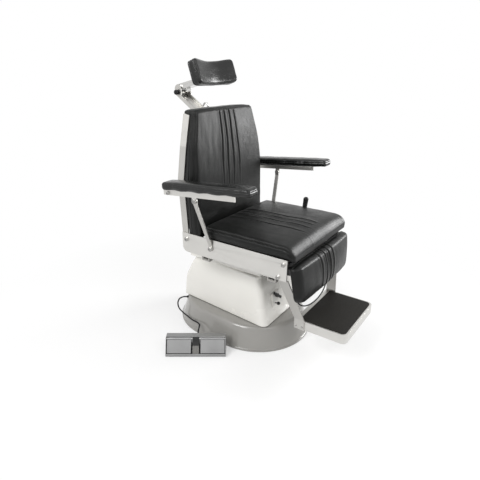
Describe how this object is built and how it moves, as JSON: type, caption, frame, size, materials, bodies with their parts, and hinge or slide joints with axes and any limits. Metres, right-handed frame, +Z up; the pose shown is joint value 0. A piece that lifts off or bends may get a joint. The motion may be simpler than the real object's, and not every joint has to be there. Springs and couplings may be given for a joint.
{
  "type": "ear nose and throat examination chair",
  "caption": "Examination chair with a reclining padded back, linked armrests, hinged headrest, leg support and foot tray on a lifting, turning pedestal with a foot switch.",
  "frame": {"origin": "on the floor under the base plate, on the swivel axis", "axes": "+X forward (the way the patient faces), +Y the patient's left, +Z up"},
  "size_m": [0.992, 0.8513, 1.2529],
  "materials": {
    "dark_metal": "satin black paint",
    "grey_shell": "glossy grey",
    "ivory_shell": "glossy ivory white",
    "steel": "brushed",
    "panel": "satin",
    "chrome": "polished",
    "board": "black laminate",
    "upholstery": "semi-gloss synthetic leather",
    "rubber": "matt",
    "black_plastic": "semi-matt"
  },
  "bodies": {
    "base": {"base_plate": "dark_metal", "base_pan": "grey_shell", "column_outer": "dark_metal", "lift_motor": "dark_metal", "lift_spindle": "steel", "cord_gland": "black_plastic", "switch_cord": "rubber", "switch_housing": "steel", "switch_divider": "black_plastic", "switch_rods": "steel", "switch_springs": "steel", "switch_contacts": "black_plastic", "switch_feet": "rubber", "switch_strain_relief": "rubber"},
    "pedal_up": {"pedal_up": "steel"},
    "pedal_down": {"pedal_down": "steel"},
    "lift": {"column_inner": "chrome", "carrier_plate": "dark_metal", "upper_cover": "ivory_shell", "cover_spacers": "steel", "bearing_lower": "steel", "lock_bezel": "ivory_shell"},
    "lock_lever": {"lock_lever": "black_plastic"},
    "release_pull": {"release_pull": "black_plastic"},
    "seat": {"bearing_upper": "steel", "seat_frame": "dark_metal", "side_panel_right": "panel", "side_panel_left": "panel", "seat_board": "board", "seat_cushion": "upholstery", "back_pivot_bolts": "chrome", "strut_pivot_bolts": "chrome", "leg_arm_right": "panel", "leg_arm_left": "panel", "leg_bolts": "chrome", "calf_board": "board", "calf_pad": "upholstery", "foot_tray": "panel", "foot_mat": "rubber"},
    "recline_lever": {"recline_lever": "panel", "lever_grip": "black_plastic"},
    "calf_bail": {"calf_bail": "black_plastic"},
    "back": {"back_rail_right": "panel", "back_rail_left": "panel", "back_shell": "board", "back_cushion": "upholstery", "arm_pivot_pins": "chrome", "mast_guide": "dark_metal"},
    "armrest_right": {"arm_bar_right": "panel", "arm_pad_right": "upholstery"},
    "armrest_left": {"arm_bar_left": "panel", "arm_pad_left": "upholstery"},
    "strut_right": {"strut_right": "panel"},
    "strut_left": {"strut_left": "panel"},
    "head_mast": {"head_mast": "panel", "mast_ring": "chrome"},
    "head_knob": {"head_knob": "black_plastic"},
    "head_arm": {"head_arm": "chrome"},
    "head_pad": {"head_plate": "board", "head_pad": "upholstery"}
  },
  "joints": [
    {"name": "lift_stroke", "type": "slide", "parent": "base", "child": "lift", "axis": [0, 0, 1], "range_m": [0, 0.18]},
    {"name": "seat_swivel", "type": "hinge", "parent": "lift", "child": "seat", "pos_m": [0, 0, 0.384], "axis": [0, 0, 1], "continuous": true},
    {"name": "swivel_lock", "type": "hinge", "parent": "lift", "child": "lock_lever", "pos_m": [0.22441, -0.071, 0.2337], "axis": [0.9892, 0, 0.1465], "range_deg": [-20, 60]},
    {"name": "lift_release", "type": "slide", "parent": "lift", "child": "release_pull", "axis": [0.9892, 0, 0.1465], "range_m": [0, 0.012]},
    {"name": "recline", "type": "hinge", "parent": "seat", "child": "back", "pos_m": [-0.146, 0, 0.488], "axis": [0, -1, 0], "range_deg": [0, 75]},
    {"name": "recline_release", "type": "hinge", "parent": "seat", "child": "recline_lever", "pos_m": [0.168, 0.262, 0.468], "axis": [0, -1, 0], "range_deg": [0, 22]},
    {"name": "arm_level_right", "type": "hinge", "parent": "back", "child": "armrest_right", "pos_m": [-0.164, -0.33, 0.721], "axis": [0, -1, 0], "range_deg": [-75, 0]},
    {"name": "arm_level_left", "type": "hinge", "parent": "back", "child": "armrest_left", "pos_m": [-0.164, 0.33, 0.721], "axis": [0, -1, 0], "range_deg": [-75, 0]},
    {"name": "strut_swing_right", "type": "hinge", "parent": "seat", "child": "strut_right", "pos_m": [-0.002, -0.26, 0.476], "axis": [0, -1, 0], "range_deg": [0, 75]},
    {"name": "strut_swing_left", "type": "hinge", "parent": "seat", "child": "strut_left", "pos_m": [-0.002, 0.26, 0.476], "axis": [0, -1, 0], "range_deg": [0, 75]},
    {"name": "headrest_height", "type": "slide", "parent": "back", "child": "head_mast", "axis": [0, 0, 1], "range_m": [0, 0.09]},
    {"name": "headrest_elbow", "type": "hinge", "parent": "head_mast", "child": "head_arm", "pos_m": [-0.358, 0, 1.124], "axis": [0, -1, 0], "range_deg": [-12, 45]},
    {"name": "headrest_clamp", "type": "hinge", "parent": "head_mast", "child": "head_knob", "pos_m": [-0.358, -0.045, 1.11], "axis": [0, -1, 0], "continuous": true},
    {"name": "headrest_tilt", "type": "hinge", "parent": "head_arm", "child": "head_pad", "pos_m": [-0.216, 0, 1.168], "axis": [0, -1, 0], "range_deg": [-25, 25]},
    {"name": "calf_bail_swing", "type": "hinge", "parent": "seat", "child": "calf_bail", "pos_m": [0.40034, -0.05, 0.31865], "axis": [0, -1, 0], "range_deg": [0, 60]},
    {"name": "pedal_up_press", "type": "hinge", "parent": "base", "child": "pedal_up", "pos_m": [-0.00632, -0.37674, 0.071], "axis": [0.8151, 0.5793, 0], "range_deg": [0, 3], "stiffness_Nm_per_rad": 20, "springref_deg": -1.15},
    {"name": "pedal_down_press", "type": "hinge", "parent": "base", "child": "pedal_down", "pos_m": [-0.00632, -0.37674, 0.071], "axis": [0.8151, 0.5793, 0], "range_deg": [0, 3], "stiffness_Nm_per_rad": 20, "springref_deg": -1.15}
  ],
  "couplings": [
    {"joint": "arm_level_right", "follows": "recline", "ratio": -1},
    {"joint": "arm_level_left", "follows": "recline", "ratio": -1},
    {"joint": "strut_swing_right", "follows": "recline", "ratio": 1},
    {"joint": "strut_swing_left", "follows": "recline", "ratio": 1}
  ]
}
